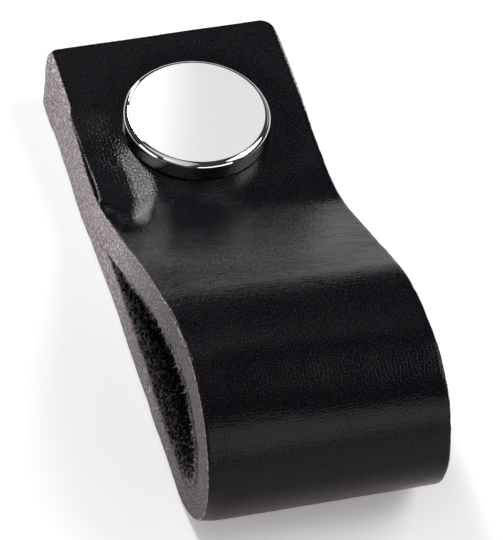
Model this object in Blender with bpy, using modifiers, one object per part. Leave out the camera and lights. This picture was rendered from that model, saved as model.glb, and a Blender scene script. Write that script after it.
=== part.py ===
"""Leather loop knob for a drawer or a cabinet door.

One strip of thick leather is folded, flesh side in, into a finger loop. Both ends lie on each
other, and the boss of a turned metal button goes through a punched hole in each of them.
Metres, +Z up. The knob lies on its back leaf at z = 0. X is the strap's width, +Y points to
the buttoned end and -Y to the fold. The origin is the middle of the base.
"""
import math

import bmesh
import bpy
from mathutils import Vector

# Strap
STRAP_WIDTH = 0.026
LEATHER = 0.0035           # thickness of each leaf
LEAF_GAP = 0.0003          # between the two stacked leaves
STACK_LENGTH = 0.0208      # where the upper leaf lies flat on the lower one
EASE_RADIUS = 0.020        # gentle bend where the upper leaf starts to rise
SLOPE_ANGLE = math.radians(28)
CREST_RADIUS = 0.024       # bend over the top, up to the highest line
LOOP_RADIUS = 0.0106       # outside of the fold, from the highest line round to the base
FOLD_FULLNESS = 0.0018     # extra thickness where the leather bunches up inside the fold
FULLNESS_SPREAD = 0.028    # half the length of that fuller stretch
FULLNESS_LAG = 0.003       # it is thickest this far past the crest
CORNER_RADIUS = 0.0018     # the four end corners, in plan
EDGE_ROUND = 0.0004        # sanded edges of the strip

# Button
HEAD_DIAMETER = 0.0162
HEAD_HEIGHT = 0.0023
BEVEL_WIDTH = 0.0006       # sloping ring around the flat top
BEVEL_DROP = 0.0003
RIM_ROUND = 0.0002
HEAD_FLOOR = 0.0013        # metal left above the screw hole
BOSS_DIAMETER = 0.007
BOSS_CHAMFER = 0.0003
BOSS_RECESS = 0.0005       # the boss ends this far inside the back leaf, so a screw squeezes both
THREAD_BORE = 0.0033       # core of the M4 thread that the mounting screw goes into
DRILL_POINT = math.radians(118)
BUTTON_FROM_BACK = 0.0149  # back edge of the strap to the button's axis
BUTTON_OFFSET = 0.0003     # the button sits this far to the right of the middle
FIT_GAP = 0.0003           # boss to the punched holes, and head to the leather

# Fineness of the meshes
FOLD_STEP = math.radians(6)
SLOPE_STEP = 0.004
CORNER_SEGMENTS = 6
ROUND_STEPS = 72

STACK_HEIGHT = 2 * LEATHER + LEAF_GAP
BEND_RISE = (EASE_RADIUS + CREST_RADIUS) * (1 - math.cos(SLOPE_ANGLE))
SLOPE_LENGTH = (2 * LOOP_RADIUS - STACK_HEIGHT - BEND_RISE) / math.sin(SLOPE_ANGLE)
FOLD_CENTRE = (STACK_LENGTH + (EASE_RADIUS + CREST_RADIUS) * math.sin(SLOPE_ANGLE)
               + SLOPE_LENGTH * math.cos(SLOPE_ANGLE))
REACH = FOLD_CENTRE + LOOP_RADIUS
BACK_Y = REACH / 2
BUTTON_Y = BACK_Y - BUTTON_FROM_BACK
HEAD_UNDERSIDE = STACK_HEIGHT + FIT_GAP


def clear_scene():
    for item in list(bpy.data.objects):
        bpy.data.objects.remove(item, do_unlink=True)


def make_collection(name):
    collection = bpy.data.collections.new(name)
    bpy.context.scene.collection.children.link(collection)
    return collection


def make_material(name, colour, roughness, metallic):
    material = bpy.data.materials.new(name)
    material.use_nodes = True
    shader = material.node_tree.nodes["Principled BSDF"]
    shader.inputs["Base Color"].default_value = (*colour, 1.0)
    shader.inputs["Roughness"].default_value = roughness
    shader.inputs["Metallic"].default_value = metallic
    material.diffuse_color = (*colour, 1.0)
    return material


def add_object(name, bm, collection, parent=None, material=None):
    mesh = bpy.data.meshes.new(name)
    bm.to_mesh(mesh)
    bm.free()
    item = bpy.data.objects.new(name, mesh)
    collection.objects.link(item)
    item.parent = parent
    if material:
        mesh.materials.append(material)
    return item


def hump(distance, spread):
    """1 in the middle, falling smoothly to 0 at the given distance."""
    return 0.5 + 0.5 * math.cos(math.pi * min(abs(distance) / spread, 1.0))


def strap_path():
    """Grain side of the strip from the upper back edge, over the fold, to the lower back edge.

    Gives the points (y, z) and the distance along the strip at which its highest line lies.
    """
    stretches = [
        (STACK_LENGTH, 0.0, STACK_LENGTH),
        (EASE_RADIUS * SLOPE_ANGLE, SLOPE_ANGLE, EASE_RADIUS * FOLD_STEP),
        (SLOPE_LENGTH, 0.0, SLOPE_STEP),
        (CREST_RADIUS * SLOPE_ANGLE, -SLOPE_ANGLE, CREST_RADIUS * FOLD_STEP),
        (LOOP_RADIUS * math.pi, -math.pi, LOOP_RADIUS * FOLD_STEP),
        (FOLD_CENTRE, 0.0, FOLD_CENTRE),
    ]
    y, z, heading = BACK_Y, STACK_HEIGHT, 0.0
    points = [(y, z)]
    for length, turn, step in stretches:
        count = math.ceil(length / step - 1e-6)
        half = turn / count / 2
        chord = length / count
        if turn:
            chord *= math.sin(half) / half
        for _ in range(count):
            heading += half
            y -= chord * math.cos(heading)
            z += chord * math.sin(heading)
            heading += half
            points.append((y, z))
    crest = sum(length for length, _, _ in stretches[:4])
    return points, crest


def strap_surface():
    """The open grain surface. Its vertex group says where the strip is fuller than LEATHER."""
    bm = bmesh.new()
    weight = bm.verts.layers.deform.verify()
    points, crest = strap_path()
    verts = []
    along = 0.0
    last = points[0]
    for point in points:
        along += math.dist(last, point)
        last = point
        vert = bm.verts.new((-STRAP_WIDTH / 2, *point))
        vert[weight][0] = hump(along - crest - FULLNESS_LAG, FULLNESS_SPREAD)
        verts.append(vert)
    edges = [bm.edges.new(pair) for pair in zip(verts, verts[1:])]
    swept = bmesh.ops.extrude_edge_only(bm, edges=edges)["geom"]
    right = [item for item in swept if isinstance(item, bmesh.types.BMVert)]
    bmesh.ops.translate(bm, verts=right, vec=Vector((STRAP_WIDTH, 0, 0)))

    corners = [vert for vert in bm.verts if len(vert.link_edges) == 2]
    bmesh.ops.bevel(bm, geom=corners, affect="VERTICES", offset=CORNER_RADIUS,
                    offset_type="OFFSET", segments=CORNER_SEGMENTS, profile=0.5)
    bm.normal_update()
    top = max(bm.faces, key=lambda face: face.calc_center_median().z)
    if top.normal.z < 0:
        bmesh.ops.reverse_faces(bm, faces=bm.faces)
    return bm


def make_strap(collection, cutters, parent):
    grain = make_material("black_grain_side", (0.012, 0.011, 0.012), 0.5, 0.0)
    strap = add_object("strap", strap_surface(), collection, parent, grain)
    strap.data.materials.append(make_material("raw_cut_edge", (0.29, 0.24, 0.27), 0.9, 0.0))
    strap.data.materials.append(make_material("black_flesh_side", (0.008, 0.007, 0.009), 1.0, 0.0))
    strap.vertex_groups.new(name="fullness")

    solid = strap.modifiers.new("thickness", "SOLIDIFY")
    solid.thickness = LEATHER + FOLD_FULLNESS
    solid.vertex_group = "fullness"
    solid.thickness_vertex_group = LEATHER / (LEATHER + FOLD_FULLNESS)
    solid.offset = -1
    solid.use_even_offset = True
    solid.material_offset_rim = 1
    solid.material_offset = 2

    rounding = strap.modifiers.new("sanded_edges", "BEVEL")
    rounding.width = EDGE_ROUND
    rounding.segments = 2
    rounding.limit_method = "ANGLE"
    rounding.angle_limit = math.radians(50)

    hole = strap.modifiers.new("punched_holes", "BOOLEAN")
    hole.operation = "DIFFERENCE"
    hole.object = make_punch(cutters)
    strap.data.shade_smooth()
    strap.data.set_sharp_from_angle(angle=math.radians(50))
    return strap


def make_punch(cutters):
    """A cylinder through both leaves where the boss passes."""
    bm = bmesh.new()
    bmesh.ops.create_cone(bm, cap_ends=True, segments=ROUND_STEPS // 2,
                          radius1=BOSS_DIAMETER / 2 + FIT_GAP,
                          radius2=BOSS_DIAMETER / 2 + FIT_GAP,
                          depth=2 * STACK_HEIGHT)
    punch = add_object("punch", bm, cutters)
    punch.location = (BUTTON_OFFSET, BUTTON_Y, STACK_HEIGHT / 2)
    punch.hide_render = True
    punch.display_type = "WIRE"
    return punch


def button_profile():
    """Half section of the button at +X, down its outer side and up into the screw hole."""
    top = HEAD_UNDERSIDE + HEAD_HEIGHT
    head = HEAD_DIAMETER / 2
    boss = BOSS_DIAMETER / 2
    bore = THREAD_BORE / 2
    bore_top = top - HEAD_FLOOR
    cone = bore / math.tan(DRILL_POINT / 2)
    return [
        (0, top),
        (head - BEVEL_WIDTH, top),
        (head - RIM_ROUND, top - BEVEL_DROP),
        (head, top - BEVEL_DROP - RIM_ROUND),
        (head, HEAD_UNDERSIDE + RIM_ROUND),
        (head - RIM_ROUND, HEAD_UNDERSIDE),
        (boss, HEAD_UNDERSIDE),
        (boss, BOSS_RECESS + BOSS_CHAMFER),
        (boss - BOSS_CHAMFER, BOSS_RECESS),
        (bore, BOSS_RECESS),
        (bore, bore_top - cone),
        (0, bore_top),
    ]


def make_button(collection, parent):
    chrome = make_material("polished_chrome", (0.80, 0.80, 0.81), 0.06, 1.0)
    bm = bmesh.new()
    verts = [bm.verts.new((x, 0, z)) for x, z in button_profile()]
    for pair in zip(verts, verts[1:]):
        bm.edges.new(pair)
    button = add_object("button", bm, collection, parent, chrome)
    button.location = (BUTTON_OFFSET, BUTTON_Y, 0)
    turn = button.modifiers.new("turned", "SCREW")
    turn.axis = "Z"
    turn.steps = ROUND_STEPS
    turn.render_steps = ROUND_STEPS
    turn.use_merge_vertices = True
    turn.merge_threshold = 0.00001
    turn.use_smooth_shade = True
    return button


def main():
    clear_scene()
    parts = make_collection("leather_knob")
    cutters = make_collection("cutters")
    base = bpy.data.objects.new("base", None)
    parts.objects.link(base)
    make_strap(parts, cutters, base)
    make_button(parts, base)


main()
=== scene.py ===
# %% [markdown]
# # A leather loop knob
# This knob is one strip of thick black leather. It is folded over into a finger loop, and a turned
# metal button holds its two ends together. The lesson makes the folded strip, the fuzzy nap on its
# inside, the button, the finishes, and the white table with its lamps. All of it is built round the
# knob's solids, which are loaded first as a fixed frame in metres.

# %% Load the frame
import math

import bmesh
import bpy
import numpy as np
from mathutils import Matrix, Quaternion, Vector, noise


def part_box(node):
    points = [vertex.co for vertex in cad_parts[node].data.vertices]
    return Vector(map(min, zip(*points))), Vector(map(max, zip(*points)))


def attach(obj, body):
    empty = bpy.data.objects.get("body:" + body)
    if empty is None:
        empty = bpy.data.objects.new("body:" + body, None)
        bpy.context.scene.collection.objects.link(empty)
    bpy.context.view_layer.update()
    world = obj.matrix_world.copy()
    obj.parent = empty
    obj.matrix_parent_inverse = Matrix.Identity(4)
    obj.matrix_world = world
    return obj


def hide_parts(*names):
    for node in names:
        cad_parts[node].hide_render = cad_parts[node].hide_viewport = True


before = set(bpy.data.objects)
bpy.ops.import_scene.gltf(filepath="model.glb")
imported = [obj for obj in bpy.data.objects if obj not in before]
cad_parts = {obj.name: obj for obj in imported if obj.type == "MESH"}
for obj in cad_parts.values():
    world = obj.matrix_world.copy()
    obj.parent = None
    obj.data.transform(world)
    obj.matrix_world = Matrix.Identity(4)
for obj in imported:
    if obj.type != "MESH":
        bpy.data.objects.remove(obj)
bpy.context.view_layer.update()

MM = 0.001


print("solids:", sorted(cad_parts))

# %% [markdown]
# ## Measuring the solids
# The strip and the button have to lie where the solids lie, so their main sizes are read from the
# solids' boxes. All lengths are in millimetres here, which keeps the numbers readable. They are
# turned to metres once, when a mesh is made.

# %% Sizes in millimetres
strap_low, strap_high = (np.array(corner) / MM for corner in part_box("strap"))
button_low, button_high = (np.array(corner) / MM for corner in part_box("button"))
HALF_WIDTH = (strap_high[0] - strap_low[0]) / 2
REACH = strap_high[1] - strap_low[1]
BACK_Y = strap_high[1]
FOLD_RADIUS = (strap_high[2] - strap_low[2]) / 2
BUTTON_X, BUTTON_Y = (button_low[:2] + button_high[:2]) / 2
HEAD_RADIUS = (button_high[0] - button_low[0]) / 2
HEAD_TOP = button_high[2]
print("half width %.2f, reach %.2f, fold radius %.2f" % (HALF_WIDTH, REACH, FOLD_RADIUS))

# %% [markdown]
# ## The line of the fold
# Leather this thick does not fold sharply. Seen from the side, the grain surface runs flat over the
# stacked ends, eases up into a slope, bends over the crest, goes round the fold and comes back flat
# on the table. The line could be drawn as a curve object, but then the strip's thickness and its
# edges could not follow the hide. Here it is a walk of small steps instead. It gives for every
# distance along the strip the place and the direction of the grain surface.

# %% Walk along the grain surface
STACK_LENGTH = 20.8
EASE_RADIUS = 20.0
SLOPE_ANGLE = math.radians(28)
CREST_RADIUS = 24.0
LEATHER = 3.5
LEAF_GAP = 0.3
STACK_HEIGHT = 2 * LEATHER + LEAF_GAP
WALK_STEP = 0.1

RISE_OF_BENDS = (EASE_RADIUS + CREST_RADIUS) * (1 - math.cos(SLOPE_ANGLE))
SLOPE_LENGTH = (2 * FOLD_RADIUS - STACK_HEIGHT - RISE_OF_BENDS) / math.sin(SLOPE_ANGLE)
FOLD_CENTRE = REACH - FOLD_RADIUS


def walk_the_fold():
    """Rows of distance, y, z and heading along the grain side, from back edge to back edge."""
    stretches = [
        (STACK_LENGTH, 0.0),
        (EASE_RADIUS * SLOPE_ANGLE, SLOPE_ANGLE),
        (SLOPE_LENGTH, 0.0),
        (CREST_RADIUS * SLOPE_ANGLE, -SLOPE_ANGLE),
        (FOLD_RADIUS * math.pi, -math.pi),
        (FOLD_CENTRE, 0.0),
    ]
    distance, y, z, heading = 0.0, BACK_Y, STACK_HEIGHT, 0.0
    rows = [(distance, y, z, heading)]
    for length, turn in stretches:
        steps = math.ceil(length / WALK_STEP)
        for _ in range(steps):
            heading += turn / steps / 2
            y -= length / steps * math.cos(heading)
            z += length / steps * math.sin(heading)
            heading += turn / steps / 2
            distance += length / steps
            rows.append((distance, y, z, heading))
    return np.array(rows).T


WALK = walk_the_fold()
STRIP_LENGTH = WALK[0, -1]
print("the strip was cut %.1f mm long and %.1f mm wide" % (STRIP_LENGTH, 2 * HALF_WIDTH))

# %% [markdown]
# ## From the flat hide to the folded knob
# Every point of the strip has three numbers on the flat hide: how far it lies across the strip, how
# far along it, and how deep under the grain surface. One function will take them to the folded
# knob. The mesh, the nap and all leather patterns use the same numbers, so grain and creases follow
# the leather round the fold.
#
# Hand-folded leather is not even. It could be sculpted by hand, but a few smooth curves along the
# strip can be read and changed. Each is a list of knots (distance along the strip, value).
# RAISE lifts the whole strip and SWAY tilts it, so that the left side of the slope stands higher.
# LEFT_EDGE bends only the left rim. PULLED_DOWN is the hollow that the screw draws into the leather
# left of the button. Its flank catches the window as a bright streak. THICKNESS lets the leather
# bunch up inside the fold.

# %% Curves of the uneven shape
RAISE = [(0, -0.05), (24, -0.1), (34, -0.25), (42, -0.12), (50, -0.3), (57, -0.25), (63, -0.1),
         (68, 0.0), (74, 0.05), (80, 0.1), (88, 0.0), (100, -0.09), (115, -0.1), (140, -0.02), (153, 0.0)]
SWAY = [(0, 0.0), (14, -0.17), (25, 0.05), (30, 0.4), (36, 0.5), (43, 0.6), (50, 0.35), (62, 0.35),
        (67, 0.0), (71, -0.25), (77, -0.15), (84, 0.0), (97, 0.17), (112, 0.2), (140, 0.04), (153, 0.0)]
LEFT_EDGE = [(0, 0.0), (8, 0.0), (12.5, -0.02), (15, -0.15), (17.5, -0.38), (20, -0.48), (22, -0.26),
             (24, 0.23), (26, 0.74), (28, 1.08), (30, 1.02), (33, 0.5), (36, 0.05), (38, 0.0), (40, -0.12),
             (50, -0.24), (60, -0.31), (75, -0.34), (95, -0.28), (120, -0.13), (153, 0.0)]
# How far the left edge's shape reaches into the strip
LEFT_EDGE_SPREAD = [(0, 0.33), (20, 0.33), (22, 0.4), (25, 1.4), (28, 1.7), (40, 1.7), (48, 2.6),
                    (70, 2.6), (80, 1.7), (153, 1.7)]
PULLED_DOWN = [(0, 0.0), (12, 0.0), (14, -0.1), (16, -0.36), (17.5, -0.5), (20, -0.5), (22, -0.52),
               (24, -0.68), (26, -0.88), (28, -0.98), (30, -0.9), (33, -0.5), (36, -0.12), (39, 0.0),
               (153, 0.0)]
# The middle of the hollow's flank, measured from the left edge, and the flank's width
PULLED_FROM = [(0, 5.1), (17.5, 5.3), (20, 5.6), (23, 5.4), (26, 4.4), (28.2, 3.45), (31.3, 1.9),
               (35, 1.2), (153, 1.2)]
PULLED_WIDTH = 2.8
THICKNESS = [(0, 3.85), (10, 3.85), (20, 3.85), (25, 3.85), (28, 3.95), (30, 4.0), (32.5, 3.97),
             (36, 4.05), (45, 4.0), (57, 5.05), (65, 6.0), (73, 5.5), (85, 4.0), (93, 3.25), (101, 3.4),
             (109, 4.0), (118, 4.05), (121, 4.2), (124, 4.25), (127, 4.1), (131, 3.8), (140, 3.72),
             (153, 3.72)]


def curve_through(knots, at):
    """A smooth curve through knots of (distance, value), read at the given distances."""
    xs, ys = np.array(knots, float).T
    slopes = np.gradient(ys, xs)
    i = np.clip(np.searchsorted(xs, at) - 1, 0, len(xs) - 2)
    width = xs[i + 1] - xs[i]
    t = np.clip((at - xs[i]) / width, 0, 1)
    a = (1 + 2 * t) * (1 - t) ** 2 * ys[i] + t * (1 - t) ** 2 * width * slopes[i]
    b = t * t * (3 - 2 * t) * ys[i + 1] + t * t * (t - 1) * width * slopes[i + 1]
    return a + b


def thickness(along):
    """How thick the leather is at the given distances along the strip."""
    return curve_through(THICKNESS, along)


print("thickest inside the fold: %.1f mm" % thickness(np.linspace(0, STRIP_LENGTH, 400)).max())

# %% [markdown]
# ## Folding the hide
# The function starts from the line of the fold, moves the point out or in by the curves, and then
# goes down to the point's depth. The curves of the grain side fade out with depth, so the flesh side
# stays calmer. The solids keep a gap under the button's head. On the real knob the head is screwed
# down onto the leather, so here the leather is raised to it all round.

# %% From the flat hide to the knob
HEAD_SEAT = 0.27
SEAT_FADE = 4.6
# How softly the hollow's flank starts and ends, from 0 to 1
FLANK_SOFTNESS = 0.2


def fold_hide(across, along, depth):
    """Takes points of the flat hide to the knob: their places and the grain side's outward normals."""
    y, z, heading = (np.interp(along, WALK[0], row) for row in WALK[1:])
    outward = np.stack([0 * y, np.sin(heading), np.cos(heading)], axis=-1)
    buried = np.clip(depth / thickness(along), 0, 1)

    whole = curve_through(RAISE, along) - curve_through(SWAY, along) * across / HALF_WIDTH
    from_left = across + HALF_WIDTH
    spread = curve_through(LEFT_EDGE_SPREAD, along)
    skin = curve_through(LEFT_EDGE, along) * np.exp(-(from_left / spread) ** 2)
    beyond = np.clip((from_left - curve_through(PULLED_FROM, along)) / PULLED_WIDTH + 0.5, 0, 1)
    ramp = beyond - FLANK_SOFTNESS * np.sin(2 * math.pi * beyond) / (2 * math.pi)
    skin = skin + curve_through(PULLED_DOWN, along) * (1 - ramp)
    on_top = along < 2 * STACK_LENGTH
    from_button = np.hypot(across - BUTTON_X, y - BUTTON_Y) - HEAD_RADIUS
    fade = np.clip(from_button / SEAT_FADE, 0, 1)
    skin = skin + on_top * HEAD_SEAT * (1 - fade * fade * (3 - 2 * fade))

    away = whole + skin * (1 - buried) - depth
    place = np.stack([across, y, z], axis=-1) + outward * away[..., None]
    return place, outward


middle_line, _ = fold_hide(np.zeros(400), np.linspace(0, STRIP_LENGTH, 400), np.zeros(400))
print("the strip's middle line rises to %.1f mm" % middle_line[:, 2].max())

# %% [markdown]
# ## The strip's mesh
# The strip could be a plane with Solidify and Bevel, as in the solids. Its cut edges would then have
# only two or three faces, and a raw leather edge needs more: it bulges a little, is rounded towards
# the grain, and stays ragged. So the mesh is built as closed rings round the strip, one every third
# of a millimetre. Near both ends the rings get narrower and thinner, which rounds the corners.
# Both ends were cut a little wide. On the left the upper leaf's cut leans out towards its flesh side
# and meets the lower leaf, which closes the seam between them.

# %% Rings round the strip
CORNER_RADIUS = 1.8
GRAIN_ROUND = 0.28
FLESH_ROUND = 0.1
EDGE_BULGE = 0.08
RING_SPACING = 0.36
CORNER_RINGS = 12
ACROSS_CELLS = 84
EDGE_CELLS = 9
ROUND_CELLS = 3
# By the distance along the strip: how much wider than the solid it was cut, and how far the left
# cut leans out at the flesh side
WIDER_LEFT = [(0, 0.35), (3, 0.3), (7, 0.05), (12, 0.0), (20, 0.0), (115, 0.0), (122, 0.0),
              (127, 0.12), (131, 0.32), (139, 0.34), (145, 0.3), (149, 0.4), (153, 0.4)]
WIDER_RIGHT = [(0, 0.12), (4, 0.26), (10, 0.22), (16, 0.08), (22, 0.0), (30, 0.0), (153, 0.0)]
LEAN_LEFT = [(0, 0.0), (3, 0.05), (6, 0.15), (9, 0.3), (12, 0.34), (20, 0.34), (25, 0.3),
             (29, 0.05), (32, 0.0), (153, 0.0)]


def ring_stations():
    """Distances along the strip, closer together where the end corners turn."""
    corner = CORNER_RADIUS * (1 - np.cos(np.linspace(0, math.pi / 2, CORNER_RINGS)))[:-1]
    middle = np.linspace(CORNER_RADIUS, STRIP_LENGTH - CORNER_RADIUS,
                         round((STRIP_LENGTH - 2 * CORNER_RADIUS) / RING_SPACING) + 1)
    return np.concatenate([corner, middle, (STRIP_LENGTH - corner)[::-1]])


def rounded_in(distance, radius):
    """How far a rounded corner of that radius lies inside a sharp one, at a distance from the end."""
    left = np.clip(radius - distance, 0, radius)
    return radius - math.sqrt(radius * radius - left * left)


def ring(along):
    """Across and depth of one ring's points: grain side, right edge, flesh side, left edge."""
    from_end = min(along, STRIP_LENGTH - along)
    inset = EDGE_BULGE + rounded_in(from_end, CORNER_RADIUS)
    wide = {1: HALF_WIDTH + float(curve_through(WIDER_RIGHT, along)) - inset,
            -1: HALF_WIDTH + float(curve_through(WIDER_LEFT, along)) - inset}
    top = rounded_in(from_end, GRAIN_ROUND)
    bottom = float(thickness(along)) - rounded_in(from_end, FLESH_ROUND)
    lean = float(curve_through(LEAN_LEFT, along))
    angles = np.linspace(0, math.pi / 2, ROUND_CELLS + 1)

    upper = [(-GRAIN_ROUND * (1 - math.sin(a)), top + GRAIN_ROUND * (1 - math.cos(a)))
             for a in angles[1:]]
    sides = [(EDGE_BULGE * math.sin(math.pi * f), depth)
             for f, depth in zip(np.linspace(0, 1, EDGE_CELLS + 1),
                                 np.linspace(top + GRAIN_ROUND, bottom - FLESH_ROUND, EDGE_CELLS + 1))]
    lower = [(-FLESH_ROUND * (1 - math.cos(a)), bottom - FLESH_ROUND * (1 - math.sin(a)))
             for a in angles[1:]]
    edge = upper + sides[1:] + lower[:-1]
    right = [(wide[1] + out, depth) for out, depth in edge]
    left = [(-wide[-1] - out - lean * depth / bottom, depth) for out, depth in reversed(edge)]
    grain = [(x, top) for x in np.linspace(GRAIN_ROUND - wide[-1], wide[1] - GRAIN_ROUND,
                                           ACROSS_CELLS + 1)]
    flesh = [(x, bottom) for x in np.linspace(wide[1] - FLESH_ROUND, FLESH_ROUND - wide[-1] - lean,
                                              ACROSS_CELLS + 1)]
    return np.array(grain + right + flesh + left)


stations = ring_stations()
rings = [ring(float(along)) for along in stations]
RING_COUNT = len(stations)
RING_POINTS = len(rings[0])
print("%d rings of %d points" % (RING_COUNT, RING_POINTS))

# %% [markdown]
# ## Small unevenness
# A hide is never as smooth as a computed surface. A Displace modifier could roughen it, but not
# each side in its own way. Here noise on the flat hide moves the points by up to a tenth of a
# millimetre: long soft waves on the grain side, a finer raggedness on the cut edges, and a rough
# flesh side. The flesh side is calmest where the two leaves are squeezed together.

# %% Roughen the strip
GRAIN_WAVES = ((6.0, 0.035), (1.6, 0.012))
EDGE_WAVES = ((4.0, 0.09), (1.0, 0.05), (0.45, 0.03))
FLESH_WAVES = ((2.5, 0.1), (0.9, 0.07))
SQUEEZED = 24.0
SQUEEZED_SHARE = 0.15


def waves(hide, layers):
    """Sum of noise layers of (wavelength, height), at points of the flat hide."""
    total = np.zeros(len(hide))
    for wavelength, height in layers:
        total += [height * noise.noise(Vector(row)) for row in hide / wavelength]
    return total


def ring_normals(points):
    """For one ring, how much each point faces sideways and how much it faces deeper."""
    step = np.roll(points, -1, axis=0) - np.roll(points, 1, axis=0)
    facing = np.stack([-step[:, 1], step[:, 0]], axis=-1)
    return -facing / np.linalg.norm(facing, axis=1)[:, None]


def strap_points():
    """Places of all ring points in millimetres, and the same points on the flat hide."""
    hide = np.array([(x, along, depth) for along, row in zip(stations, rings) for x, depth in row])
    facing = np.concatenate([ring_normals(row) for row in rings])
    place, outward = fold_hide(*hide.T)
    on_grain = np.clip(-facing[:, 1], 0, 1)
    on_flesh = np.clip(facing[:, 1], 0, 1)
    on_edge = np.abs(facing[:, 0])
    squeeze = np.minimum(hide[:, 1], STRIP_LENGTH - hide[:, 1]) < SQUEEZED
    calm = np.where(squeeze, SQUEEZED_SHARE, 1.0)
    push = waves(hide, GRAIN_WAVES) * on_grain
    push += waves(hide, EDGE_WAVES) * on_edge
    push += waves(hide, FLESH_WAVES) * on_flesh * calm
    place[:, 0] += push * facing[:, 0]
    place -= outward * (push * facing[:, 1])[:, None]
    place[:, 2] = np.maximum(place[:, 2], 0)
    return place, hide


strap_place, strap_hide = strap_points()
print("the strap measures %.1f by %.1f by %.1f mm" % tuple(np.ptp(strap_place, axis=0)))

# %% [markdown]
# ## From rings to one mesh
# The rings are joined by quads, and both ends are closed. The flat hide's numbers are stored as an
# attribute of the points, where the materials will read them. A UV map would hold two of the three
# numbers, but the cut edges need the depth too.

# %% Join the rings
def strap_faces():
    """Quads between the rings, the closed ends, and a material number for each face."""
    right = ACROSS_CELLS + 1
    flesh = right + (RING_POINTS - 2 * right) // 2
    left = flesh + right
    number = [0] * ACROSS_CELLS + [0, 0] + [1] * (flesh - right - 1) + [2] * ACROSS_CELLS
    number += [1] * (RING_POINTS - len(number) - 2) + [0, 0]
    faces, numbers = [], []
    for k in range(RING_COUNT - 1):
        here, there = k * RING_POINTS, (k + 1) * RING_POINTS
        for i in range(RING_POINTS):
            j = (i + 1) % RING_POINTS
            faces.append((here + i, there + i, there + j, here + j))
            numbers.append(number[i])
    for first, turn in ((0, 1), ((RING_COUNT - 1) * RING_POINTS, -1)):
        cap = [(i, i + 1, left - 2 - i, left - 1 - i) for i in range(ACROSS_CELLS)]
        cap.append(tuple(range(ACROSS_CELLS, flesh + 1)))
        cap.append((*range(left - 1, RING_POINTS), 0))
        faces += [tuple(first + i for i in face)[::turn] for face in cap]
        numbers += [1] * len(cap)
    return faces, numbers


def make_mesh(name, places_mm, faces, hide=None, numbers=None):
    """A smooth mesh from places in millimetres, with the flat hide's numbers kept on its points."""
    mesh = bpy.data.meshes.new(name)
    mesh.from_pydata((np.asarray(places_mm) * MM).tolist(), [], faces)
    if hide is not None:
        to_flesh = thickness(hide[:, 1]) - hide[:, 2]
        mesh.attributes.new("hide_mm", "FLOAT_VECTOR", "POINT").data.foreach_set("vector", hide.ravel())
        mesh.attributes.new("to_flesh_mm", "FLOAT", "POINT").data.foreach_set("value", to_flesh)
    if numbers is not None:
        mesh.polygons.foreach_set("material_index", numbers)
    mesh.shade_smooth()
    piece = bpy.data.objects.new(name, mesh)
    bpy.context.scene.collection.objects.link(piece)
    return piece


strap_quads, finish_numbers = strap_faces()
strap = make_mesh("leather_strap", strap_place, strap_quads, strap_hide, finish_numbers)
print("strap: %d faces" % len(strap.data.polygons))

# %% [markdown]
# ## Punching the holes
# The button's boss goes through a round hole in each leaf. A Boolean would lose the hide's numbers
# on the new points. Here the faces under the punch are taken out, the rim is drawn onto a circle,
# and the rims of the grain side and the flesh side are bridged to a wall.

# %% Punch both leaves
HOLE_RADIUS = 3.8


def punch_holes(piece):
    """Cuts a round hole through each leaf. Says whether the mesh is closed, and its volume."""
    bm = bmesh.new()
    bm.from_mesh(piece.data)
    hide = bm.verts.layers.float_vector["hide_mm"]
    centre = Vector((BUTTON_X * MM, BUTTON_Y * MM))
    radius = HOLE_RADIUS * MM
    punched = [face for face in bm.faces if (face.calc_center_median().xy - centre).length < radius]
    bmesh.ops.delete(bm, geom=punched, context="FACES")
    rims = [edge for edge in bm.edges if edge.is_boundary]
    for vert in {vert for edge in rims for vert in edge.verts}:
        vert.co.xy = centre + (vert.co.xy - centre).normalized() * radius
    for upper in (True, False):
        leaf = [edge for edge in rims if (edge.verts[0][hide].y < STRIP_LENGTH / 2) == upper]
        for face in bmesh.ops.bridge_loops(bm, edges=leaf)["faces"]:
            face.material_index = 1
            face.smooth = True
    loose = [vert for vert in bm.verts if not vert.link_faces]
    bmesh.ops.delete(bm, geom=loose, context="VERTS")
    bm.to_mesh(piece.data)
    closed = all(edge.is_manifold for edge in bm.edges)
    volume = bm.calc_volume()
    bm.free()
    return closed, volume


closed, volume = punch_holes(strap)
print("strap closed: %s, volume %.0f mm3" % (closed, volume / MM ** 3))

# %% [markdown]
# ## The nap on the flesh side
# The inside of the strap is the flesh side of the hide, brushed to a black nap like suede. At the
# open sides of the loop its fibres catch the light one by one. A hair system would do, but it is
# lost when the model is exported. So each fibre is a small spike of its own, bent at half its
# length. The nap is two pieces, one under the slope and one on the base, to keep each mesh small.

# %% Grow the nap
NAP_FIBRES = 19000
NAP_LENGTH = (0.2, 0.6)
NAP_WIDTH = 0.05
NAP_LEAN = 0.95
NAP_BEND = 0.35
NAP_ROOT_DEPTH = 0.03
# Most fibres stand in a zone along each open side, and closer together towards its outside
NAP_INSET = 0.15
NAP_EDGE_SHARE = 0.8
NAP_EDGE_ZONE = 3.6
NAP_CROWDING = 1.5
NAP_START = STACK_LENGTH + 3.0
NAP_TURN = 74.0
NAP_END = STRIP_LENGTH - STACK_LENGTH - 1.0
# The triangles of each spike, by their share of its length and of its width
SPIKE_RINGS = ((0.0, 1.0), (0.55, 0.75))
SPIKE_ANGLES = (0, 2 * math.pi / 3, 4 * math.pi / 3)
SPIKE_FACES = [(0, 2, 1), (0, 1, 4, 3), (1, 2, 5, 4), (2, 0, 3, 5), (3, 4, 6), (4, 5, 6), (5, 3, 6)]
SPIKE_POINTS = 7
random = np.random.default_rng(7)


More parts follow.
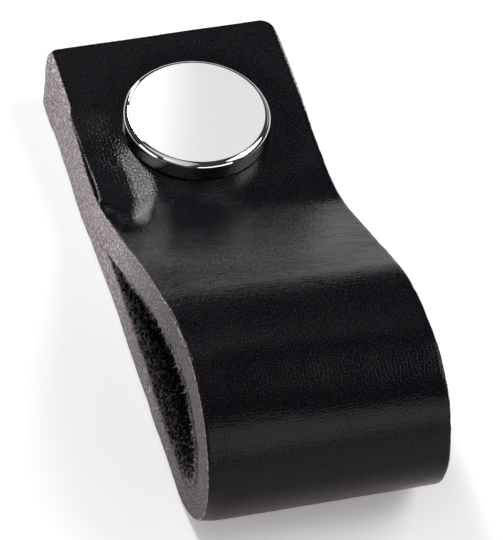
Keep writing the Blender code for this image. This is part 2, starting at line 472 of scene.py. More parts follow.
def nap_roots(count, start, end):
    """Random points of the flat hide's flesh side, most of them near its two edges."""
    along = random.uniform(start, end, count)
    inner = HALF_WIDTH - NAP_INSET
    from_edge = np.where(random.random(count) < NAP_EDGE_SHARE,
                         NAP_EDGE_ZONE * random.random(count) ** NAP_CROWDING,
                         random.uniform(0, inner, count))
    across = (inner - from_edge) * np.where(random.random(count) < 0.5, -1, 1)
    return across, along


def grow_nap(count, start, end):
    """Places, faces and hide numbers of bent three-sided spikes on one stretch of the strip."""
    across, along = nap_roots(count, start, end)
    root, outward = fold_hide(across, along, thickness(along) - NAP_ROOT_DEPTH)
    lean = random.normal(0, 1, (count, 3))
    lean -= (lean * outward).sum(1)[:, None] * outward
    up = -outward + lean * NAP_LEAN * random.random((count, 1))
    up /= np.linalg.norm(up, axis=1)[:, None]
    bend = random.normal(0, NAP_BEND, (count, 3))
    length = random.uniform(*NAP_LENGTH, (count, 1))
    side = np.cross(up, outward + 0.1 * bend)
    side /= np.linalg.norm(side, axis=1)[:, None]
    other = np.cross(up, side)

    corners = []
    for share, width in SPIKE_RINGS:
        middle = root + up * length * share + bend * length * share ** 2
        for angle in SPIKE_ANGLES:
            aside = side * math.cos(angle) + other * math.sin(angle)
            corners.append(middle + aside * NAP_WIDTH * width / 2)
    corners.append(root + up * length + bend * length)
    places = np.stack(corners, axis=1).reshape(-1, 3)

    first = np.arange(count)[:, None] * SPIKE_POINTS
    faces = [tuple(row) for face in SPIKE_FACES for row in (first + np.array(face)).tolist()]
    hide = np.repeat(np.stack([across, along, thickness(along)], axis=-1), SPIKE_POINTS, axis=0)
    return places, faces, hide


naps = [make_mesh("suede_nap_under_slope", *grow_nap(NAP_FIBRES, NAP_START, NAP_TURN)),
        make_mesh("suede_nap_on_base", *grow_nap(NAP_FIBRES, NAP_TURN, NAP_END))]
print("nap: %d fibres, %d faces" % (2 * NAP_FIBRES, sum(len(nap.data.polygons) for nap in naps)))

# %% [markdown]
# ## The button
# The button is turned from a metal rod on a lathe: a flat face, a soft shoulder, a short side and a
# thinner boss with a threaded hole. The Screw modifier turns such a profile, but can't cut a thread
# into it. So it is turned in code here, and in the bore its radius follows the thread round. The
# shoulder starts with a small crease, which gives the crisp ring round the mirror.

# %% Turn the button
TURN_STEPS = 192
HEAD_HEIGHT = 2.3
HEAD_FLOOR = 1.3
FACE_RINGS = (0.0, 0.35, 0.7, 0.95)
SHOULDER_WIDTH = 0.62
SHOULDER_FROM = math.radians(7)
SHOULDER_TO = math.radians(60)
RIM_ROUND = 0.15
BOSS_RADIUS = 3.5
BOSS_CHAMFER = 0.3
BOSS_END = button_low[2]
THREAD_CORE = 1.65
THREAD_DEPTH = 0.33
THREAD_PITCH = 0.7
THREAD_RINGS_PER_PITCH = 8
THREAD_LEAD_IN = 0.15
THREAD_RUN_OUT = 0.3
BORE_TOP = HEAD_TOP - HEAD_FLOOR
DRILL_POINT = math.radians(118)


def arc(radius, z, size, start, end, steps):
    """Points (radius, z) round a centre, by the surface's tilt: 0 faces up, 90 degrees outwards."""
    tilts = np.linspace(start, end, steps + 1)
    return [(radius + size * math.sin(a), z + size * math.cos(a)) for a in tilts]


def button_profile():
    """Rings (radius, z, share of the thread's depth) from the middle of the face to the bore's top."""
    shoulder = SHOULDER_WIDTH / (math.sin(SHOULDER_TO) - math.sin(SHOULDER_FROM))
    inner = HEAD_RADIUS - RIM_ROUND * (1 - math.sin(SHOULDER_TO)) - SHOULDER_WIDTH
    rings = [(share * inner, HEAD_TOP) for share in FACE_RINGS]
    rings += arc(inner - shoulder * math.sin(SHOULDER_FROM),
                 HEAD_TOP - shoulder * math.cos(SHOULDER_FROM),
                 shoulder, SHOULDER_FROM, SHOULDER_TO, 16)
    last_z = rings[-1][1]
    rings += arc(HEAD_RADIUS - RIM_ROUND, last_z - RIM_ROUND * math.cos(SHOULDER_TO),
                 RIM_ROUND, SHOULDER_TO, math.pi / 2, 5)[1:]
    underside = HEAD_TOP - HEAD_HEIGHT
    rings += arc(HEAD_RADIUS - RIM_ROUND, underside + RIM_ROUND, RIM_ROUND, math.pi / 2, math.pi, 5)
    rings += [(BOSS_RADIUS, underside), (BOSS_RADIUS, BOSS_END + BOSS_CHAMFER),
              (BOSS_RADIUS - BOSS_CHAMFER, BOSS_END),
              (THREAD_CORE + THREAD_DEPTH + THREAD_LEAD_IN, BOSS_END)]
    rings = [(radius, z, 0.0) for radius, z in rings]
    cone = THREAD_CORE / math.tan(DRILL_POINT / 2)
    first, last = BOSS_END + THREAD_DEPTH + THREAD_LEAD_IN, BORE_TOP - cone - THREAD_RUN_OUT
    count = round((last - first) / THREAD_PITCH * THREAD_RINGS_PER_PITCH)
    for i in range(count + 1):
        share = min(1.0, (count - i) / THREAD_RINGS_PER_PITCH)
        rings.append((THREAD_CORE, first + (last - first) * i / count, share))
    rings += [(THREAD_CORE, BORE_TOP - cone, 0.0), (0.0, BORE_TOP, 0.0)]
    return rings


def turn_button():
    """Places and faces of the turned profile, with a pole at either end."""
    profile = button_profile()
    angles = np.arange(TURN_STEPS) * 2 * math.pi / TURN_STEPS
    places = [(BUTTON_X, BUTTON_Y, profile[0][1])]
    for radius, z, share in profile[1:-1]:
        phase = (z / THREAD_PITCH - angles / (2 * math.pi)) % 1
        flank = np.clip(1.5 - np.abs(phase - 0.5) * 4, 0, 1)
        radii = radius + THREAD_DEPTH * share * flank
        places += list(zip(BUTTON_X + radii * np.cos(angles), BUTTON_Y + radii * np.sin(angles),
                           np.full(TURN_STEPS, z)))
    places.append((BUTTON_X, BUTTON_Y, profile[-1][1]))
    faces = []
    pairs = [(i, (i + 1) % TURN_STEPS) for i in range(TURN_STEPS)]
    for k in range(len(profile) - 3):
        here, there = 1 + k * TURN_STEPS, 1 + (k + 1) * TURN_STEPS
        faces += [(here + i, there + i, there + j, here + j) for i, j in pairs]
    last = len(places) - 1 - TURN_STEPS
    faces += [(0, 1 + i, 1 + j) for i, j in pairs]
    faces += [(last + i, len(places) - 1, last + j) for i, j in pairs]
    return places, faces


SHARP_FROM = math.radians(5)
button = make_mesh("screw_button", *turn_button())
button.data.set_sharp_from_angle(angle=SHARP_FROM)
print("button: %d faces" % len(button.data.polygons))

# %% [markdown]
# ## Helpers for the finishes
# Colours are written as the hex values that a picture editor shows. One function turns them to the
# linear values that the renderer counts in. A second one adds a node, with its settings and links.

# %% Colour and node helpers
def colour(hex_value):
    """The linear colour of an sRGB hex value such as #808080."""
    parts = [int(hex_value[i:i + 2], 16) / 255 for i in (1, 3, 5)]
    return (*[c / 12.92 if c <= 0.04045 else ((c + 0.055) / 1.055) ** 2.4 for c in parts], 1.0)


def add_node(tree, kind, out, inputs=None, **settings):
    """Adds a node, sets its properties, fills or links its inputs, and gives one of its outputs."""
    node = tree.nodes.new("ShaderNode" + kind)
    for name, value in settings.items():
        setattr(node, name, value)
    for key, value in (inputs or {}).items():
        if isinstance(value, bpy.types.NodeSocket):
            tree.links.new(value, node.inputs[key])
        else:
            node.inputs[key].default_value = value
    return node.outputs[out] if out is not None else node


def new_material(name):
    """An empty material, and its node tree."""
    material = bpy.data.materials.new(name)
    material.use_nodes = True
    material.node_tree.nodes.clear()
    return material, material.node_tree


def finish_material(material, tree, shader):
    """Links the shader to the output, and says how many nodes the finish took."""
    add_node(tree, "OutputMaterial", None, {"Surface": shader})
    print("%s: %d nodes" % (material.name, len(tree.nodes)))
    return material


def pattern_space(tree, across, along, depth):
    """The flat hide's numbers, divided by a pattern's real size in millimetres each way."""
    hide = add_node(tree, "Attribute", "Vector", attribute_name="hide_mm")
    return add_node(tree, "VectorMath", "Vector", {0: hide, 1: (1 / across, 1 / along, 1 / depth)},
                    operation="MULTIPLY")


def strip_measures(tree):
    """The flat hide's three numbers, and the distances from the nearer side and the nearer end."""
    hide = add_node(tree, "Attribute", "Vector", attribute_name="hide_mm")
    parts = add_node(tree, "SeparateXYZ", None, {"Vector": hide}).outputs
    aside = add_node(tree, "Math", 0, {0: parts["X"]}, operation="ABSOLUTE")
    from_side = add_node(tree, "Math", 0, {0: HALF_WIDTH, 1: aside}, operation="SUBTRACT")
    to_end = add_node(tree, "Math", 0, {0: STRIP_LENGTH, 1: parts["Y"]}, operation="SUBTRACT")
    from_ends = add_node(tree, "Math", 0, {0: parts["Y"], 1: to_end}, operation="MINIMUM")
    return parts, from_side, from_ends


# The inputs of the Mix node that take colours, which share their names with those for numbers
MIX_A, MIX_B, MIX_RESULT = 6, 7, 2
print("sRGB #808080 is %.3f in linear light" % colour("#808080")[0])

# %% [markdown]
# ## The raw cut edge
# Where a blade has cut the hide, the undyed fibres show: a dull mauve grey with no gloss at all.
# Seen close up it is a felt of fibres that mostly run along the strip, with pinker and bluer
# patches, pores darkened with painted shade where the felt is low, and a few bright fibre ends. A
# photograph of leather could be laid on it, but layers of noise have no seams and fit every size.
# The same colours come out at the worn rim of the grain side, so they have a function of their own.

# %% Raw leather fibres
FIBRE_SIZE = (0.15, 0.5, 0.15)
PATCH_SIZE = (0.7, 1.6, 0.7)
PORE_SIZE = (0.17, 0.28, 0.17)
RAW_MAUVE = colour("#94898F")
RAW_PINK = colour("#9E8B8E")
RAW_LILAC = colour("#8D8A91")
RAW_PORE_SHADE = colour("#2F282E")
RAW_TIP = colour("#E2D9DD")


def raw_fibres(tree):
    """Colour and height of the raw fibres, with painted shade in the low pores."""
    patches, fibres, pores = [
        add_node(tree, "TexNoise", "Fac", {"Vector": pattern_space(tree, *size), "Scale": 1.0,
                 "Detail": detail, "Roughness": rough})
        for size, detail, rough in ((PATCH_SIZE, 2.0, 0.5), (FIBRE_SIZE, 3.0, 0.6), (PORE_SIZE, 2.0, 0.5))]
    pink = add_node(tree, "MapRange", "Result", {"Value": patches, "From Min": 0.48, "From Max": 0.66})
    lilac = add_node(tree, "MapRange", "Result", {"Value": patches, "From Min": 0.5, "From Max": 0.34})
    # Painted shade: where the pores' noise is low, and with it the felt's height, the colour darkens
    pore_shade = add_node(tree, "MapRange", "Result", {"Value": pores, "From Min": 0.47, "From Max": 0.36,
                    "To Max": 0.85})
    bright = add_node(tree, "MapRange", "Result", {"Value": fibres, "From Min": 0.53, "From Max": 0.63,
                      "To Max": 0.85})
    tone = RAW_MAUVE
    for share, other in ((pink, RAW_PINK), (lilac, RAW_LILAC), (pore_shade, RAW_PORE_SHADE), (bright, RAW_TIP)):
        tone = add_node(tree, "Mix", MIX_RESULT, {0: share, MIX_A: tone, MIX_B: other}, data_type="RGBA")
    height = add_node(tree, "Math", 0, {0: fibres, 1: pores}, operation="ADD")
    return tone, height


print("raw fibres are %.2f mm wide and %.1f mm long" % FIBRE_SIZE[:2])

# %% [markdown]
# ## Painted light and shade on the cut edge
# The edge is painted palest where the two ends are stacked, darker along the open loop, and
# darkest round the fold: painted light and shade for how the light falls along the edge. Three
# finishes would meet in hard lines, so the place along the strip drives a factor on the colour's
# value. Near the flesh side, black nap is pressed over the edge in a ragged line, which follows the
# depth left to the flesh side.

# %% The cut edge's finish
FOLD_MIDDLE = 72.0
# Painted light and shade: factors on the edge colour's value round the fold, along the loop and at the
# ends
FOLD_PAINTED_SHADE, SIDE_PAINTED_SHADE, END_PAINTED_LIGHT = 0.42, 0.78, 1.15
# Where one painted shade turns into the next: from the fold's middle, and from the nearer end
FOLD_TO_SIDE = (18.0, 34.0)
SIDE_TO_END = (40.0, 30.0)
NAP_ON_EDGE = colour("#1C1A1F")
RAW_RELIEF = 0.09


def make_raw_edge():
    """The cut edges, with light and shade painted along them, and the black nap along the flesh side."""
    material, tree = new_material("raw_cut_cowhide")
    tone, height = raw_fibres(tree)
    to_flesh = add_node(tree, "Attribute", "Fac", attribute_name="to_flesh_mm")
    ragged = add_node(tree, "TexNoise", "Fac", {"Vector": pattern_space(tree, 0.2, 0.3, 0.2),
                      "Scale": 1.0, "Detail": 3.0})
    parts, _, from_ends = strip_measures(tree)
    # Painted shade darkens the edge towards the fold, and painted light brightens it towards the ends
    past_fold = add_node(tree, "Math", 0, {0: parts["Y"], 1: FOLD_MIDDLE}, operation="SUBTRACT")
    past_fold = add_node(tree, "Math", 0, {0: past_fold}, operation="ABSOLUTE")
    painted_shading = add_node(tree, "MapRange", "Result", {"Value": past_fold, "From Min": FOLD_TO_SIDE[0],
                     "From Max": FOLD_TO_SIDE[1], "To Min": FOLD_PAINTED_SHADE, "To Max": SIDE_PAINTED_SHADE})
    painted_shading = add_node(tree, "MapRange", "Result", {"Value": from_ends, "From Min": SIDE_TO_END[0],
                     "From Max": SIDE_TO_END[1], "To Min": painted_shading, "To Max": END_PAINTED_LIGHT})
    tone = add_node(tree, "HueSaturation", "Color", {"Color": tone, "Value": painted_shading})
    open_side = add_node(tree, "MapRange", "Result", {"Value": from_ends, "From Min": 15.0,
                         "From Max": 26.0, "To Min": 0.25, "To Max": 0.5})
    reach = add_node(tree, "MapRange", "Result", {"Value": ragged, "From Min": 0.45, "From Max": 0.7,
                     "To Min": -0.1, "To Max": open_side})
    over = add_node(tree, "Math", 0, {0: reach, 1: to_flesh}, operation="SUBTRACT")
    dyed = add_node(tree, "MapRange", "Result", {"Value": over, "From Min": -0.02, "From Max": 0.06,
                    "To Max": 0.85})
    tone = add_node(tree, "Mix", MIX_RESULT, {0: dyed, MIX_A: tone, MIX_B: NAP_ON_EDGE}, data_type="RGBA")
    bump = add_node(tree, "Bump", "Normal", {"Height": height, "Strength": 1.0,
                    "Distance": RAW_RELIEF * MM})
    shader = add_node(tree, "BsdfPrincipled", "BSDF", {"Base Color": tone, "Roughness": 0.9,
                      "Normal": bump, "Specular IOR Level": 0.25})
    return finish_material(material, tree, shader)


raw_edge = make_raw_edge()

# %% [markdown]
# ## The grain side
# The outside is full-grain cowhide, dyed black and given a thin glossy finish. Its grain is a net of
# fine valleys round pebbles about 0.4 mm wide, crossed by creases where the strip was bent. It is
# seen mostly as the gloss breaks up on it. Moving mesh points would need millions of them, so the
# grain goes into the bump, a few hundredths of a millimetre high. The colour is black with faint
# clouds of brown and fine grey specks. Low round the fold the finish is rubbed to a reddish brown,
# which is also painted lighter, as a painted reflection of the white table in the leather that faces
# it.
# At the rim it has worn through in a ragged line, and far over the left corner at the buttoned end.
#
# The rim needs a measure of its own: how far a point lies from the strip's outline. It is worked
# out from the flat hide's numbers, so it follows the rim round the fold.

# %% Distance from the rim
END_MARGIN = 0.45


def rim_distance(tree):
    """Millimetres from the strip's outline, measured over the grain side and down the cut edge."""
    parts, from_side, from_ends = strip_measures(tree)
    from_ends = add_node(tree, "Math", 0, {0: from_ends, 1: END_MARGIN}, operation="ADD")
    nearest = add_node(tree, "Math", 0, {0: from_side, 1: from_ends}, operation="MINIMUM")
    return add_node(tree, "Math", 0, {0: nearest, 1: parts["Z"]}, operation="SUBTRACT"), parts


print("the rim lies %.1f mm from the strip's middle line" % HALF_WIDTH)

# %% Black grain leather
PEBBLE = (0.42, 0.36, 1.0)
CREASE = (2.2, 0.42, 1.0)
FINE_GRAIN = (0.2, 0.17, 1.0)
CLOUD = (5.0, 7.0, 3.0)
GRAIN_BLACK = colour("#0B090D")
GRAIN_BROWN = colour("#0F0B0F")
GRAIN_SPECK = colour("#322B36")
WEAR_AND_REFLECTION_TINT = colour("#5E363C")
FINE_SHARE, CREASE_SHARE = 0.8, 2.6
GRAIN_RELIEF = 0.009
# Where the wear and its painted reflection start and are full, and where they start to end and
# have ended, along the strip
WEAR_AND_REFLECTION_SPAN = (77.0, 86.0)
WEAR_AND_REFLECTION_SPAN_END = (91.0, 99.0)
WORN_CORNER_END = (10.6, 9.0)
# How far the worn line wanders from the rim, at its least, by the noise, and at the corner
WORN_LEAST, WORN_WANDER, WORN_AT_CORNER = -0.14, 0.5, 0.5


def make_grain_leather():
    """The outside, from the grain's height to the worn rim where the raw fibres show."""
    material, tree = new_material("black_grain_cowhide")
    raw_tone, _ = raw_fibres(tree)
    rim, parts = rim_distance(tree)

    cells = add_node(tree, "TexVoronoi", "Distance", {"Vector": pattern_space(tree, *PEBBLE), "Scale": 1.0,
                     "Randomness": 0.85}, feature="DISTANCE_TO_EDGE", voronoi_dimensions="2D")
    pebbles = add_node(tree, "MapRange", "Result", {"Value": cells, "From Min": 0.0, "From Max": 0.3,
                       "To Max": 0.9}, interpolation_type="SMOOTHSTEP")
    creases, fine, clouds = [
        add_node(tree, "TexNoise", "Fac", {"Vector": pattern_space(tree, *size), "Scale": 1.0,
                 "Detail": detail, "Distortion": twist})
        for size, detail, twist in ((CREASE, 3.0, 0.4), (FINE_GRAIN, 2.0, 0.0), (CLOUD, 3.0, 0.0))]
    height = add_node(tree, "Math", 0, {0: fine, 1: FINE_SHARE, 2: pebbles}, operation="MULTIPLY_ADD")
    height = add_node(tree, "Math", 0, {0: creases, 1: CREASE_SHARE, 2: height}, operation="MULTIPLY_ADD")

    brown = add_node(tree, "MapRange", "Result", {"Value": clouds, "From Min": 0.4, "From Max": 0.7})
    speck = add_node(tree, "MapRange", "Result", {"Value": fine, "From Min": 0.56, "From Max": 0.74,
                     "To Max": 0.9})
    # Wear and painted reflection low round the fold: reddish brown, painted lighter for the table it faces
    rubbed_and_reflected = add_node(tree, "MapRange", "Result", {"Value": parts["Y"], "From Min": WEAR_AND_REFLECTION_SPAN[0],
                      "From Max": WEAR_AND_REFLECTION_SPAN[1]})
    rubbed_and_reflected = add_node(tree, "Math", 0, {0: rubbed_and_reflected, 1: 2.0}, operation="POWER")
    kept = add_node(tree, "MapRange", "Result", {"Value": parts["Y"], "From Min": WEAR_AND_REFLECTION_SPAN_END[0],
                    "From Max": WEAR_AND_REFLECTION_SPAN_END[1], "To Min": 1.0, "To Max": 0.0})
    rubbed_and_reflected = add_node(tree, "Math", 0, {0: rubbed_and_reflected, 1: kept}, operation="MULTIPLY")
    tone = GRAIN_BLACK
    for share, other in ((brown, GRAIN_BROWN), (speck, GRAIN_SPECK), (rubbed_and_reflected, WEAR_AND_REFLECTION_TINT)):
        tone = add_node(tree, "Mix", MIX_RESULT, {0: share, MIX_A: tone, MIX_B: other}, data_type="RGBA")

    corner = add_node(tree, "MapRange", "Result", {"Value": parts["Y"], "From Min": WORN_CORNER_END[0],
                      "From Max": WORN_CORNER_END[1]})
    left = add_node(tree, "Math", 0, {0: parts["X"], 1: 0.0}, operation="LESS_THAN")
    worn_corner = add_node(tree, "Math", 0, {0: corner, 1: left}, operation="MULTIPLY")
    ragged = add_node(tree, "TexNoise", "Fac", {"Vector": pattern_space(tree, 0.4, 0.22, 0.3),
                      "Scale": 1.0, "Detail": 4.0})
    limit = add_node(tree, "Math", 0, {0: worn_corner, 1: WORN_AT_CORNER, 2: WORN_LEAST},
                     operation="MULTIPLY_ADD")
    limit = add_node(tree, "Math", 0, {0: ragged, 1: WORN_WANDER, 2: limit}, operation="MULTIPLY_ADD")
    inside = add_node(tree, "Math", 0, {0: rim, 1: limit}, operation="SUBTRACT")
    finished = add_node(tree, "MapRange", "Result", {"Value": inside, "From Min": -0.05, "From Max": 0.05},
                        interpolation_type="SMOOTHSTEP")
    tone = add_node(tree, "Mix", MIX_RESULT, {0: finished, MIX_A: raw_tone, MIX_B: tone}, data_type="RGBA")

    gloss = add_node(tree, "MapRange", "Result", {"Value": clouds, "From Min": 0.35, "From Max": 0.7,
                     "To Min": 0.16, "To Max": 0.21})
    roughness = add_node(tree, "MapRange", "Result", {"Value": finished, "To Min": 0.9, "To Max": gloss})
    bump = add_node(tree, "Bump", "Normal", {"Height": height, "Strength": 1.0,
                    "Distance": GRAIN_RELIEF * MM})
    shader = add_node(tree, "BsdfPrincipled", "BSDF", {"Base Color": tone, "Roughness": roughness,
                      "Normal": bump, "Specular IOR Level": 0.14})
    return finish_material(material, tree, shader)


grain_side = make_grain_leather()

# %% [markdown]
# ## The flesh side and its nap
# Suede swallows light: it has no gloss, and its fibres shade each other. The skin under the nap is
# almost pure black, mottled where tufts of fibres start. Noise is enough for it, because the nap's
# own fibres stand over it.

# %% Black suede
SUEDE_BLACK = colour("#121014")
SUEDE_SHADE = colour("#050405")
TUFT_SIZE = (0.35, 0.35, 0.35)
SUEDE_RELIEF = 0.25


def make_flesh():
    """The skin under the nap."""
    material, tree = new_material("black_suede_flesh")
    mottle = add_node(tree, "TexNoise", "Fac", {"Vector": pattern_space(tree, *TUFT_SIZE),
                      "Scale": 1.0, "Detail": 4.0})
    tone = add_node(tree, "Mix", MIX_RESULT, {0: mottle, MIX_A: SUEDE_SHADE, MIX_B: SUEDE_BLACK},
                    data_type="RGBA")
    bump = add_node(tree, "Bump", "Normal", {"Height": mottle, "Strength": 1.0,
                    "Distance": SUEDE_RELIEF * MM})
    shader = add_node(tree, "BsdfPrincipled", "BSDF", {"Base Color": tone, "Roughness": 1.0,
                      "Normal": bump, "Specular IOR Level": 0.1})
    return finish_material(material, tree, shader)


flesh_side = make_flesh()

# %% [markdown]
# ## The fibres
# The fibres are dyed unevenly, and near the cut edge many are as pale as the edge. Further in, a few
# are painted grey too, as painted glints of single fibres. A texture can't tell one fibre from the
# next, but each is an island of the mesh, and the random number of its island decides whether it is
# painted pale.

# %% Dyed and undyed fibres
# Pale fibres: undyed near the cut edge, and further in painted glints of single fibres
PALE_FIBRE_AND_GLINT = colour("#B0A9AF")
PALE_ZONE = (0.4, 2.6)
PALE_SHARE_AT_EDGE, PALE_SHARE_INSIDE = 0.6, 0.12


def make_nap_fibre():
    """Black fibres with a share painted pale, which grows towards the cut edges: fibres that took no dye,
    and further in painted glints.
    """
    material, tree = new_material("black_suede_fibre")
    chance = add_node(tree, "NewGeometry", "Random Per Island")
    _, from_side, _ = strip_measures(tree)
    pale_share = add_node(tree, "MapRange", "Result", {"Value": from_side, "From Min": PALE_ZONE[0],
                      "From Max": PALE_ZONE[1], "To Min": PALE_SHARE_AT_EDGE, "To Max": PALE_SHARE_INSIDE})
    over = add_node(tree, "Math", 0, {0: pale_share, 1: chance}, operation="SUBTRACT")
    pale = add_node(tree, "MapRange", "Result", {"Value": over, "From Min": -0.04, "From Max": 0.04})
    tone = add_node(tree, "Mix", MIX_RESULT, {0: pale, MIX_A: SUEDE_BLACK, MIX_B: PALE_FIBRE_AND_GLINT},
                    data_type="RGBA")
    shader = add_node(tree, "BsdfPrincipled", "BSDF", {"Base Color": tone, "Roughness": 0.6,
                      "Specular IOR Level": 0.4})
    return finish_material(material, tree, shader)


nap_fibre = make_nap_fibre()

# %% [markdown]
# ## Polished chrome
# The button is taken for chrome plate. It mirrors almost everything and colours nothing, so its look
# is the look of the room. A perfect mirror would seem a hole in the picture. A little blur, and
# faint hazy patches left by the polishing mop, tell the eye that it is metal.

# %% Mirror chrome
CHROME = colour("#D6D6D8")
HAZE_SIZE = 2.5


def make_chrome():
    """Chrome plate with the haze of polishing."""
    material, tree = new_material("polished_chrome_plate")
    place = add_node(tree, "TexCoord", "Object")
    haze = add_node(tree, "TexNoise", "Fac", {"Vector": place, "Scale": 1 / (HAZE_SIZE * MM),
                    "Detail": 3.0})
    roughness = add_node(tree, "MapRange", "Result", {"Value": haze, "From Min": 0.3, "From Max": 0.7,
                         "To Min": 0.035, "To Max": 0.06})
    shader = add_node(tree, "BsdfPrincipled", "BSDF", {"Base Color": CHROME, "Metallic": 1.0,
                      "Roughness": roughness})
    return finish_material(material, tree, shader)


chrome = make_chrome()

# %% [markdown]
# ## The finishes go onto the pieces
# Grain, cut edge and flesh are three sides of one hide, so the strap is one piece whose faces carry
# the numbers 0, 1 and 2, in the order of the finishes here. Each piece is tied to the knob's body.
# The strap and the button take the places of their plain solids.

# %% Give the pieces their finishes
for finish in (grain_side, raw_edge, flesh_side):
    strap.data.materials.append(finish)
for nap in naps:
    nap.data.materials.append(nap_fibre)
button.data.materials.append(chrome)

for piece, slot in ((strap, "leather"), *((nap, "leather") for nap in naps), (button, "polished_chrome")):
    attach(piece, "root")
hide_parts("strap")
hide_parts("button")
print("dressed pieces:", [piece.name for piece in (strap, *naps, button)])

# %% [markdown]
# ## The white table
# The knob lies on a plain white board, which fills the camera's whole view. Stronger lamps would
# turn it to paper white, but bleach the leather too. A small glow that only camera rays see lifts it
# instead, and the soft shadow stays.

# %% White table
TABLE_HALF = 2500.0
TABLE_DROP = 0.1
BOARD_WHITE = colour("#F6F6F6")
TABLE_GLOW = 0.2


def make_table():
    """A flat white board, a tenth of a millimetre under the knob."""
    corners = [(x * TABLE_HALF, y * TABLE_HALF, 0) for x, y in ((-1, -1), (1, -1), (1, 1), (-1, 1))]
    table = make_mesh("white_table", corners, [(0, 1, 2, 3)])
    table.location.z = -TABLE_DROP * MM

    material, tree = new_material("matte_white_board")
    seen = add_node(tree, "LightPath", "Is Camera Ray")
    glow = add_node(tree, "Math", 0, {0: seen, 1: TABLE_GLOW}, operation="MULTIPLY")
    shader = add_node(tree, "BsdfPrincipled", "BSDF", {"Base Color": BOARD_WHITE, "Roughness": 0.9,
                      "Specular IOR Level": 0.0, "Emission Color": colour("#FFFFFF"),
                      "Emission Strength": glow})
    table.data.materials.append(finish_material(material, tree, shader))
    return table


table = make_table()
print("the board is %.0f m wide" % (2 * TABLE_HALF * MM))

# %% [markdown]
# ## The studio
# Black leather shows what it mirrors, and so does chrome. The grain side mirrors one slice of the
# room, from behind the knob over its top to the camera. The broad lamps stand aside of that slice.
# Inside it is only a dim panel low in front, for the sheen on the fold. Two tall lamps behind on the
# left are a window, which only the hollow's flank mirrors as a bright streak. A sky picture could
# light the scene too, but single lamps show which light makes which gleam.

# %% Lamps
LAMP_AIM = Vector((0.0, 0.0, 0.008))
# Azimuth from +Y towards +X and elevation in degrees, distance, width and height in metres, radiance
LAMPS = {
    "window_high": (-17, 46, 0.70, 0.09, 0.28, 31.0),
    "window_low": (-8, 18, 0.70, 0.08, 0.36, 13.0),
    "top_softbox": (-90, 72, 0.90, 0.60, 0.60, 0.75),
    "right_softbox": (95, 50, 0.90, 0.50, 0.50, 3.7),
    "front_right": (104, 44, 0.90, 0.60, 0.50, 1.9),
    "front_left": (-135, 50, 0.90, 0.50, 0.50, 0.8),
    "left_low": (-95, 15, 0.60, 0.30, 0.22, 3.0),
    "right_low": (52, 17, 0.70, 0.40, 0.26, 0.3),
    "front_low": (166, 19, 0.60, 0.50, 0.30, 2.0),
    "button_card": (19, 47, 0.40, 0.07, 0.06, 1.08),
}


def add_lamp(name, azimuth, elevation, distance, width, height, radiance):
    """A rectangular area lamp that faces the knob."""
    light = bpy.data.lights.new(name, "AREA")
    light.shape = "RECTANGLE"
    light.size = width
    light.size_y = height
    light.energy = radiance * math.pi * width * height
    lamp = bpy.data.objects.new(name, light)
    turn, rise = math.radians(azimuth), math.radians(elevation)
    towards = Vector((math.sin(turn) * math.cos(rise), math.cos(turn) * math.cos(rise), math.sin(rise)))
    lamp.location = LAMP_AIM + towards * distance
    lamp.rotation_euler = (-towards).to_track_quat("-Z", "Y").to_euler()
    lamp.visible_camera = False
    bpy.context.scene.collection.objects.link(lamp)
    return lamp


lamps = {name: add_lamp(name, *values) for name, values in LAMPS.items()}
print("lamps:", len(lamps))

# %% [markdown]
# ## The card that the button mirrors
# The button's flat face mirrors one small spot behind the knob. In the photograph it is white on
# its left and fades to light grey. An even lamp would leave it flat as paper, so a small card hangs
# there, and its nodes make one side brighter. The dark grey room keeps the leather black.

# %% Shaded card and room
# Where the card is at its brightest and where it is plain, as shares of its width, and how bright
CARD_BRIGHT_AT, CARD_PLAIN_AT, CARD_BRIGHTEST = 0.8, 0.56, 1.6


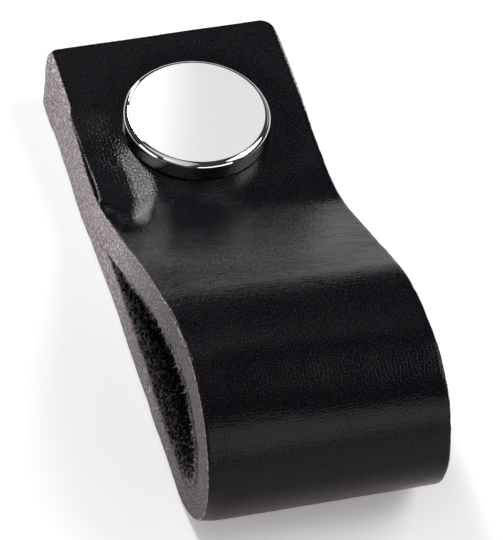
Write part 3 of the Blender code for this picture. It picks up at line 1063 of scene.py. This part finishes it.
def shade_off(lamp, bright_at, plain_at, brightest):
    """Makes a lamp brighter towards one side, as a soft card is near its own lamp."""
    lamp.data.use_nodes = True
    tree = lamp.data.node_tree
    place = add_node(tree, "NewGeometry", "Parametric")
    aside = add_node(tree, "SeparateXYZ", "X", {"Vector": place})
    strength = add_node(tree, "MapRange", "Result", {"Value": aside, "From Min": bright_at,
                        "From Max": plain_at, "To Min": brightest, "To Max": 1.0},
                        interpolation_type="SMOOTHSTEP")
    tree.links.new(strength, tree.nodes["Emission"].inputs["Strength"])


shade_off(lamps["button_card"], CARD_BRIGHT_AT, CARD_PLAIN_AT, CARD_BRIGHTEST)

ROOM = colour("#404043")
world = bpy.data.worlds.new("studio_room")
world.use_nodes = True
world.node_tree.nodes["Background"].inputs["Color"].default_value = ROOM
bpy.context.scene.world = world
print("the room shines with %.3f in linear light" % ROOM[0])

# %% [markdown]
# ## The camera
# The photograph was taken from the front left, looking down at 48 degrees, with the camera a little
# askew. A short lens would make the knob's sides run together. A long lens from half a metre keeps
# them nearly parallel, as they are there.

# %% Camera
# Lengths in metres, and the lens by its focal length in millimetres
CAMERA_AIM = Vector((0.578, -2.62, 8.0)) * MM
CAMERA_DISTANCE = 0.53456
CAMERA_AZIMUTH = math.radians(-20.088)
CAMERA_ELEVATION = math.radians(48.009)
CAMERA_ROLL = math.radians(6.359)
CAMERA_LENS = 333.33
NEAREST_SEEN = 0.01


def add_camera():
    """The scene's camera. It looks at a point on the knob from a distance and an angle."""
    data = bpy.data.cameras.new("camera")
    data.lens = CAMERA_LENS
    data.clip_start = NEAREST_SEEN
    camera = bpy.data.objects.new("camera", data)
    flat = math.cos(CAMERA_ELEVATION)
    back = Vector((math.sin(CAMERA_AZIMUTH) * flat, -math.cos(CAMERA_AZIMUTH) * flat,
                   math.sin(CAMERA_ELEVATION)))
    camera.location = CAMERA_AIM + back * CAMERA_DISTANCE
    camera.rotation_mode = "QUATERNION"
    camera.rotation_quaternion = (-back).to_track_quat("-Z", "Y") @ Quaternion((0, 0, 1), CAMERA_ROLL)
    bpy.context.scene.collection.objects.link(camera)
    bpy.context.scene.camera = camera
    return camera


camera = add_camera()
bpy.context.scene.view_settings.view_transform = "Standard"
print("the camera stands at", [round(number, 3) for number in camera.location])
